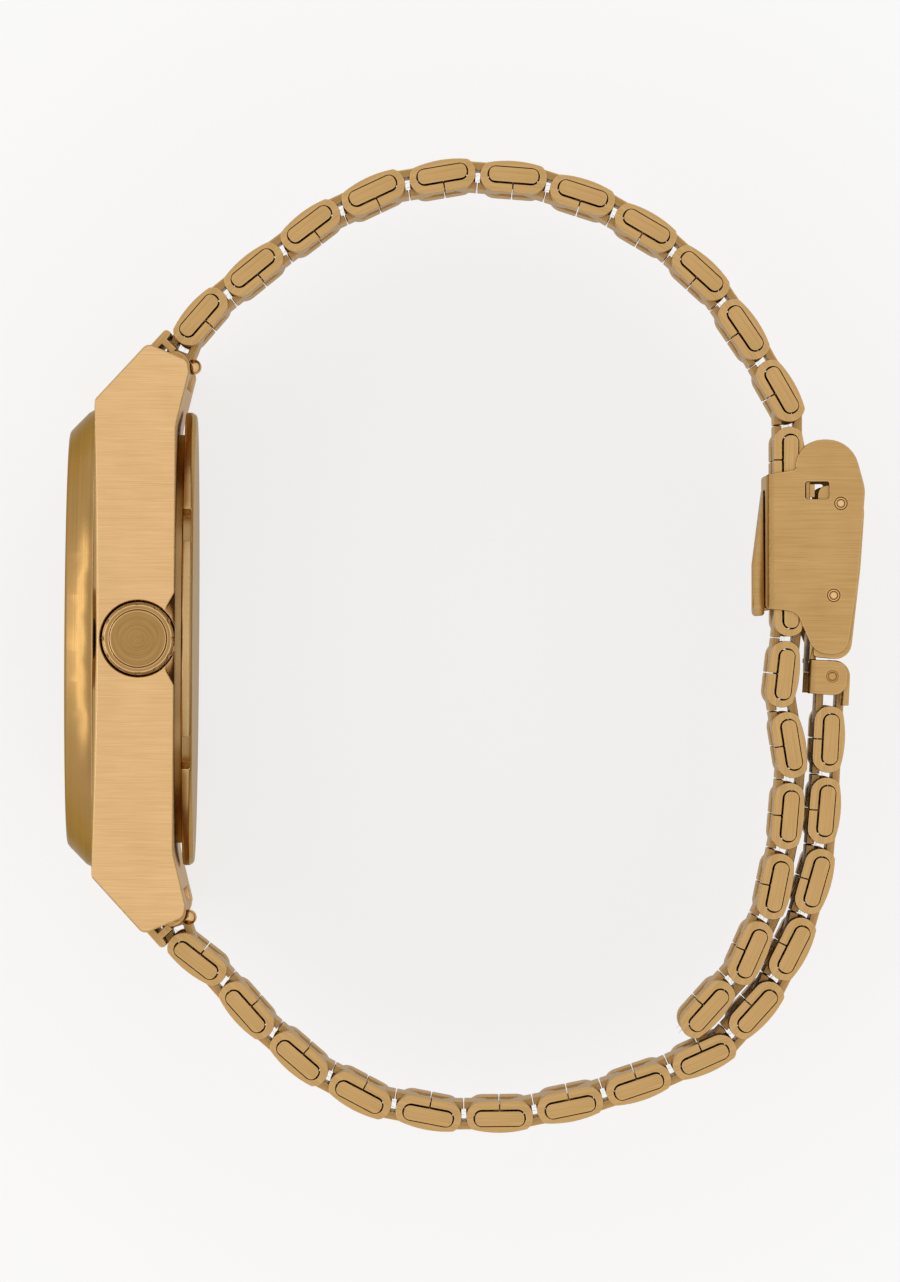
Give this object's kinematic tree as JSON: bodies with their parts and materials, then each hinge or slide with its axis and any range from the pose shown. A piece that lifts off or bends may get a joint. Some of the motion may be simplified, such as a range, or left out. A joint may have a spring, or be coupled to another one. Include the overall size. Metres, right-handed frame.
{
  "type": "analog wristwatch",
  "caption": "Analog wristwatch with a flat-sided cushion case, round bezel, folded-link metal bracelet and folding slide clasp, resting on its side with the bracelet closed.",
  "frame": {"origin": "centre of the flat 9 o'clock flank of the case, which the watch rests on, at half the case middle's thickness", "axes": "+Z from the 9 o'clock flank to the crown at 3 o'clock, +Y towards 12 o'clock, -X out of the dial"},
  "size_m": [0.0642, 0.0784, 0.0391],
  "materials": {
    "case": "satin gold-coloured plating on steel, brushed across the flank",
    "bezel": "polished gold-coloured plating on steel",
    "crystal": "clear mineral glass",
    "gasket": "black nitrile rubber",
    "dial_ring": "satin gold-coloured",
    "dial": "sunray gold-coloured dial",
    "markers": "polished gold-coloured",
    "holder": "off-white moulded plastic",
    "movement": "brass plates",
    "battery": "nickel-plated cell",
    "case_back": "polished gold-coloured plating on steel",
    "steel": "plain steel",
    "pinion": "turned brass",
    "crown": "gold-coloured plating, turned face",
    "hands": "polished gold-coloured",
    "knobs": "polished gold-coloured",
    "clasp": "satin gold-coloured plating on folded sheet",
    "clasp_pins": "polished gold-coloured",
    "lid": "satin gold-coloured plating on folded sheet",
    "links": "satin gold-coloured plating on folded sheet"
  },
  "bodies": {
    "case": {"case_middle": "case", "bezel": "bezel", "crystal": "crystal", "sealing_gaskets": "gasket", "dial_ring": "dial_ring", "dial": "dial", "hour_markers": "markers", "movement_holder": "holder", "movement": "movement", "battery": "battery", "case_back": "case_back", "spring_bars": "steel", "upper_end_link": "links", "lower_end_link": "links"},
    "upper_01": {"upper_link_01": "links"},
    "upper_02": {"upper_link_02": "links"},
    "upper_03": {"upper_link_03": "links"},
    "upper_04": {"upper_link_04": "links"},
    "upper_05": {"upper_link_05": "links"},
    "upper_06": {"upper_link_06": "links"},
    "upper_07": {"upper_link_07": "links"},
    "upper_08": {"upper_link_08": "links"},
    "upper_09": {"upper_link_09": "links"},
    "upper_10": {"upper_link_10": "links"},
    "upper_11": {"upper_link_11": "links"},
    "clasp": {"clasped_links": "links", "clasp_frame": "clasp", "clasp_pins": "clasp_pins", "friction_plate": "steel"},
    "tail_15": {"upper_link_15": "links"},
    "tail_16": {"upper_link_16": "links"},
    "tail_17": {"upper_link_17": "links"},
    "tail_18": {"upper_link_18": "links"},
    "tail_19": {"upper_link_19": "links"},
    "tail_20": {"upper_link_20": "links"},
    "lower_01": {"lower_link_01": "links"},
    "lower_02": {"lower_link_02": "links"},
    "lower_03": {"lower_link_03": "links"},
    "lower_04": {"lower_link_04": "links"},
    "lower_05": {"lower_link_05": "links"},
    "lower_06": {"lower_link_06": "links"},
    "lower_07": {"lower_link_07": "links"},
    "lower_08": {"lower_link_08": "links"},
    "lower_09": {"lower_link_09": "links"},
    "lower_10": {"lower_link_10": "links"},
    "lower_11": {"lower_link_11": "links"},
    "lower_12": {"lower_link_12": "links"},
    "lower_13": {"lower_link_13": "links"},
    "lower_14": {"lower_link_14": "links"},
    "lid": {"clasp_lid": "lid", "end_bracket": "clasp"},
    "lock_flap": {"lock_flap": "clasp"},
    "stem": {"winding_stem": "steel"},
    "crown": {"crown": "crown"},
    "pinion": {"stem_pinion": "pinion"},
    "minute_hand": {"minute_hand": "hands"},
    "hour_hand": {"hour_hand": "hands"},
    "second_hand": {"second_hand": "hands"},
    "upper_release_knob": {"upper_release_knob": "knobs"},
    "lower_release_knob": {"lower_release_knob": "knobs"}
  },
  "joints": [
    {"name": "upper_hinge_01", "type": "hinge", "parent": "case", "child": "upper_01", "pos_m": [0.00412, 0.02488, 0.019], "axis": [0, 0, 1], "range_deg": [0, 8.66]},
    {"name": "upper_hinge_02", "type": "hinge", "parent": "upper_01", "child": "upper_02", "pos_m": [0.00597, 0.02704, 0.019], "axis": [0, 0, 1], "range_deg": [0, 15.26]},
    {"name": "upper_hinge_03", "type": "hinge", "parent": "upper_02", "child": "upper_03", "pos_m": [0.01041, 0.0307, 0.019], "axis": [0, 0, 1], "range_deg": [0, 6.82]},
    {"name": "upper_hinge_04", "type": "hinge", "parent": "upper_03", "child": "upper_04", "pos_m": [0.01498, 0.03421, 0.019], "axis": [0, 0, 1], "range_deg": [0, 15.77]},
    {"name": "upper_hinge_05", "type": "hinge", "parent": "upper_04", "child": "upper_05", "pos_m": [0.02018, 0.03669, 0.019], "axis": [0, 0, 1], "range_deg": [0, 17.13]},
    {"name": "upper_hinge_06", "type": "hinge", "parent": "upper_05", "child": "upper_06", "pos_m": [0.02585, 0.03769, 0.019], "axis": [0, 0, 1], "range_deg": [-20.25, 0]},
    {"name": "upper_hinge_07", "type": "hinge", "parent": "upper_06", "child": "upper_07", "pos_m": [0.0316, 0.03729, 0.019], "axis": [0, 0, 1], "range_deg": [-21.82, 0]},
    {"name": "upper_hinge_08", "type": "hinge", "parent": "upper_07", "child": "upper_08", "pos_m": [0.03709, 0.03555, 0.019], "axis": [0, 0, 1], "range_deg": [-10.95, 0]},
    {"name": "upper_hinge_09", "type": "hinge", "parent": "upper_08", "child": "upper_09", "pos_m": [0.04208, 0.03267, 0.019], "axis": [0, 0, 1], "range_deg": [0, 0.93]},
    {"name": "upper_hinge_10", "type": "hinge", "parent": "upper_09", "child": "upper_10", "pos_m": [0.04636, 0.02882, 0.019], "axis": [0, 0, 1], "range_deg": [0, 0.43]},
    {"name": "upper_hinge_11", "type": "hinge", "parent": "upper_10", "child": "upper_11", "pos_m": [0.04962, 0.02407, 0.019], "axis": [0, 0, 1], "range_deg": [-20.02, 0]},
    {"name": "upper_hinge_12", "type": "hinge", "parent": "upper_11", "child": "clasp", "pos_m": [0.0525, 0.01908, 0.019], "axis": [0, 0, 1], "range_deg": [-13.7, 0]},
    {"name": "tail_hinge_15", "type": "hinge", "parent": "clasp", "child": "tail_15", "pos_m": [0.05265, 0.0018, 0.019], "axis": [0, 0, 1], "range_deg": [-12, 0]},
    {"name": "tail_hinge_16", "type": "hinge", "parent": "tail_15", "child": "tail_16", "pos_m": [0.05205, -0.00392, 0.019], "axis": [0, 0, 1], "range_deg": [-12, 0]},
    {"name": "tail_hinge_17", "type": "hinge", "parent": "tail_16", "child": "tail_17", "pos_m": [0.053, -0.00961, 0.019], "axis": [0, 0, 1], "range_deg": [-12, 0]},
    {"name": "tail_hinge_18", "type": "hinge", "parent": "tail_17", "child": "tail_18", "pos_m": [0.05255, -0.01535, 0.019], "axis": [0, 0, 1], "range_deg": [-12, 0]},
    {"name": "tail_hinge_19", "type": "hinge", "parent": "tail_18", "child": "tail_19", "pos_m": [0.05145, -0.021, 0.019], "axis": [0, 0, 1], "range_deg": [-12, 0]},
    {"name": "tail_hinge_20", "type": "hinge", "parent": "tail_19", "child": "tail_20", "pos_m": [0.04916, -0.02628, 0.019], "axis": [0, 0, 1], "range_deg": [-12, 0]},
    {"name": "lower_hinge_01", "type": "hinge", "parent": "case", "child": "lower_01", "pos_m": [0.00399, -0.02493, 0.019], "axis": [0, 0, 1], "range_deg": [0, 8.15]},
    {"name": "lower_hinge_02", "type": "hinge", "parent": "lower_01", "child": "lower_02", "pos_m": [0.00624, -0.02665, 0.019], "axis": [0, 0, 1], "range_deg": [0, 48.82]},
    {"name": "lower_hinge_03", "type": "hinge", "parent": "lower_02", "child": "lower_03", "pos_m": [0.0101, -0.03094, 0.019], "axis": [0, 0, 1], "range_deg": [0, 5.35]},
    {"name": "lower_hinge_04", "type": "hinge", "parent": "lower_03", "child": "lower_04", "pos_m": [0.01448, -0.03468, 0.019], "axis": [0, 0, 1], "range_deg": [-12.79, 0]},
    {"name": "lower_hinge_05", "type": "hinge", "parent": "lower_04", "child": "lower_05", "pos_m": [0.01959, -0.03734, 0.019], "axis": [0, 0, 1], "range_deg": [-17.08, 0]},
    {"name": "lower_hinge_06", "type": "hinge", "parent": "lower_05", "child": "lower_06", "pos_m": [0.02525, -0.03839, 0.019], "axis": [0, 0, 1], "range_deg": [-11.42, 0]},
    {"name": "lower_hinge_07", "type": "hinge", "parent": "lower_06", "child": "lower_07", "pos_m": [0.03101, -0.03828, 0.019], "axis": [0, 0, 1], "range_deg": [-10.62, 0]},
    {"name": "lower_hinge_08", "type": "hinge", "parent": "lower_07", "child": "lower_08", "pos_m": [0.03665, -0.03709, 0.019], "axis": [0, 0, 1], "range_deg": [-6.31, 0]},
    {"name": "lower_hinge_09", "type": "hinge", "parent": "lower_08", "child": "lower_09", "pos_m": [0.04209, -0.03521, 0.019], "axis": [0, 0, 1], "range_deg": [-4.58, 0]},
    {"name": "lower_hinge_10", "type": "hinge", "parent": "lower_09", "child": "lower_10", "pos_m": [0.04733, -0.03282, 0.019], "axis": [0, 0, 1], "range_deg": [0, 8.22]},
    {"name": "lower_hinge_11", "type": "hinge", "parent": "lower_10", "child": "lower_11", "pos_m": [0.05115, -0.02851, 0.019], "axis": [0, 0, 1], "range_deg": [0, 2.48]},
    {"name": "lower_hinge_12", "type": "hinge", "parent": "lower_11", "child": "lower_12", "pos_m": [0.05372, -0.02335, 0.019], "axis": [0, 0, 1], "range_deg": [0, 0.74]},
    {"name": "lower_hinge_13", "type": "hinge", "parent": "lower_12", "child": "lower_13", "pos_m": [0.05526, -0.0178, 0.019], "axis": [0, 0, 1], "range_deg": [0, 0.62]},
    {"name": "lower_hinge_14", "type": "hinge", "parent": "lower_13", "child": "lower_14", "pos_m": [0.05571, -0.01206, 0.019], "axis": [0, 0, 1], "range_deg": [0, 0.11]},
    {"name": "lid_hinge", "type": "hinge", "parent": "clasp", "child": "lid", "pos_m": [0.05669, 0.01127, 0.019], "axis": [0, 0, 1], "range_deg": [0, 75]},
    {"name": "lock_flap_hinge", "type": "hinge", "parent": "clasp", "child": "lock_flap", "pos_m": [0.0503, 0.00261, 0.019], "axis": [0, 0, 1], "range_deg": [0, 95]},
    {"name": "crown_pull", "type": "slide", "parent": "case", "child": "stem", "axis": [0, 0, 1], "range_m": [0, 0.001]},
    {"name": "crown_turn", "type": "hinge", "parent": "stem", "child": "crown", "pos_m": [0.00036, 0, 0.037], "axis": [0, 0, 1], "continuous": true},
    {"name": "pinion_turn", "type": "hinge", "parent": "case", "child": "pinion", "pos_m": [0.00036, 0, 0.029], "axis": [0, 0, 1], "continuous": true},
    {"name": "minute_hand_turn", "type": "hinge", "parent": "case", "child": "minute_hand", "pos_m": [0, 0, 0.019], "axis": [1, 0, 0], "continuous": true},
    {"name": "hour_hand_turn", "type": "hinge", "parent": "case", "child": "hour_hand", "pos_m": [0, 0, 0.019], "axis": [1, 0, 0], "continuous": true},
    {"name": "second_hand_turn", "type": "hinge", "parent": "case", "child": "second_hand", "pos_m": [0, 0, 0.019], "axis": [1, 0, 0], "continuous": true},
    {"name": "upper_release_knob_slide", "type": "slide", "parent": "case", "child": "upper_release_knob", "axis": [0, 0, -1], "range_m": [0, 0.0012], "stiffness_N_per_m": 200, "springref_m": -0.001},
    {"name": "lower_release_knob_slide", "type": "slide", "parent": "case", "child": "lower_release_knob", "axis": [0, 0, -1], "range_m": [0, 0.0012], "stiffness_N_per_m": 200, "springref_m": -0.001}
  ],
  "couplings": [
    {"joint": "upper_hinge_01", "follows": "lid_hinge", "ratio": 0.11546},
    {"joint": "upper_hinge_02", "follows": "lid_hinge", "ratio": 0.20344},
    {"joint": "upper_hinge_03", "follows": "lid_hinge", "ratio": 0.090837},
    {"joint": "upper_hinge_04", "follows": "lid_hinge", "ratio": 0.21015},
    {"joint": "upper_hinge_05", "follows": "lid_hinge", "ratio": 0.22832},
    {"joint": "upper_hinge_06", "follows": "lid_hinge", "ratio": -0.26997},
    {"joint": "upper_hinge_07", "follows": "lid_hinge", "ratio": -0.2909},
    {"joint": "upper_hinge_08", "follows": "lid_hinge", "ratio": -0.14588},
    {"joint": "upper_hinge_09", "follows": "lid_hinge", "ratio": 0.012386},
    {"joint": "upper_hinge_10", "follows": "lid_hinge", "ratio": 0.0056672},
    {"joint": "upper_hinge_11", "follows": "lid_hinge", "ratio": -0.26693},
    {"joint": "upper_hinge_12", "follows": "lid_hinge", "ratio": -0.18261},
    {"joint": "lower_hinge_01", "follows": "lid_hinge", "ratio": 0.10857},
    {"joint": "lower_hinge_02", "follows": "lid_hinge", "ratio": 0.65088},
    {"joint": "lower_hinge_03", "follows": "lid_hinge", "ratio": 0.071324},
    {"joint": "lower_hinge_04", "follows": "lid_hinge", "ratio": -0.17052},
    {"joint": "lower_hinge_05", "follows": "lid_hinge", "ratio": -0.22761},
    {"joint": "lower_hinge_06", "follows": "lid_hinge", "ratio": -0.15222},
    {"joint": "lower_hinge_07", "follows": "lid_hinge", "ratio": -0.14152},
    {"joint": "lower_hinge_08", "follows": "lid_hinge", "ratio": -0.084114},
    {"joint": "lower_hinge_09", "follows": "lid_hinge", "ratio": -0.060956},
    {"joint": "lower_hinge_10", "follows": "lid_hinge", "ratio": 0.10952},
    {"joint": "lower_hinge_11", "follows": "lid_hinge", "ratio": 0.033011},
    {"joint": "lower_hinge_12", "follows": "lid_hinge", "ratio": 0.009831},
    {"joint": "lower_hinge_13", "follows": "lid_hinge", "ratio": 0.0082273},
    {"joint": "lower_hinge_14", "follows": "lid_hinge", "ratio": 0.0014474},
    {"joint": "pinion_turn", "follows": "crown_turn", "ratio": 1},
    {"joint": "minute_hand_turn", "follows": "crown_turn", "ratio": 0.33333},
    {"joint": "hour_hand_turn", "follows": "crown_turn", "ratio": 0.027778},
    {"joint": "tail_hinge_16", "follows": "tail_hinge_15", "ratio": 1},
    {"joint": "tail_hinge_17", "follows": "tail_hinge_15", "ratio": 1},
    {"joint": "tail_hinge_18", "follows": "tail_hinge_15", "ratio": 1},
    {"joint": "tail_hinge_19", "follows": "tail_hinge_15", "ratio": 1},
    {"joint": "tail_hinge_20", "follows": "tail_hinge_15", "ratio": 1}
  ]
}
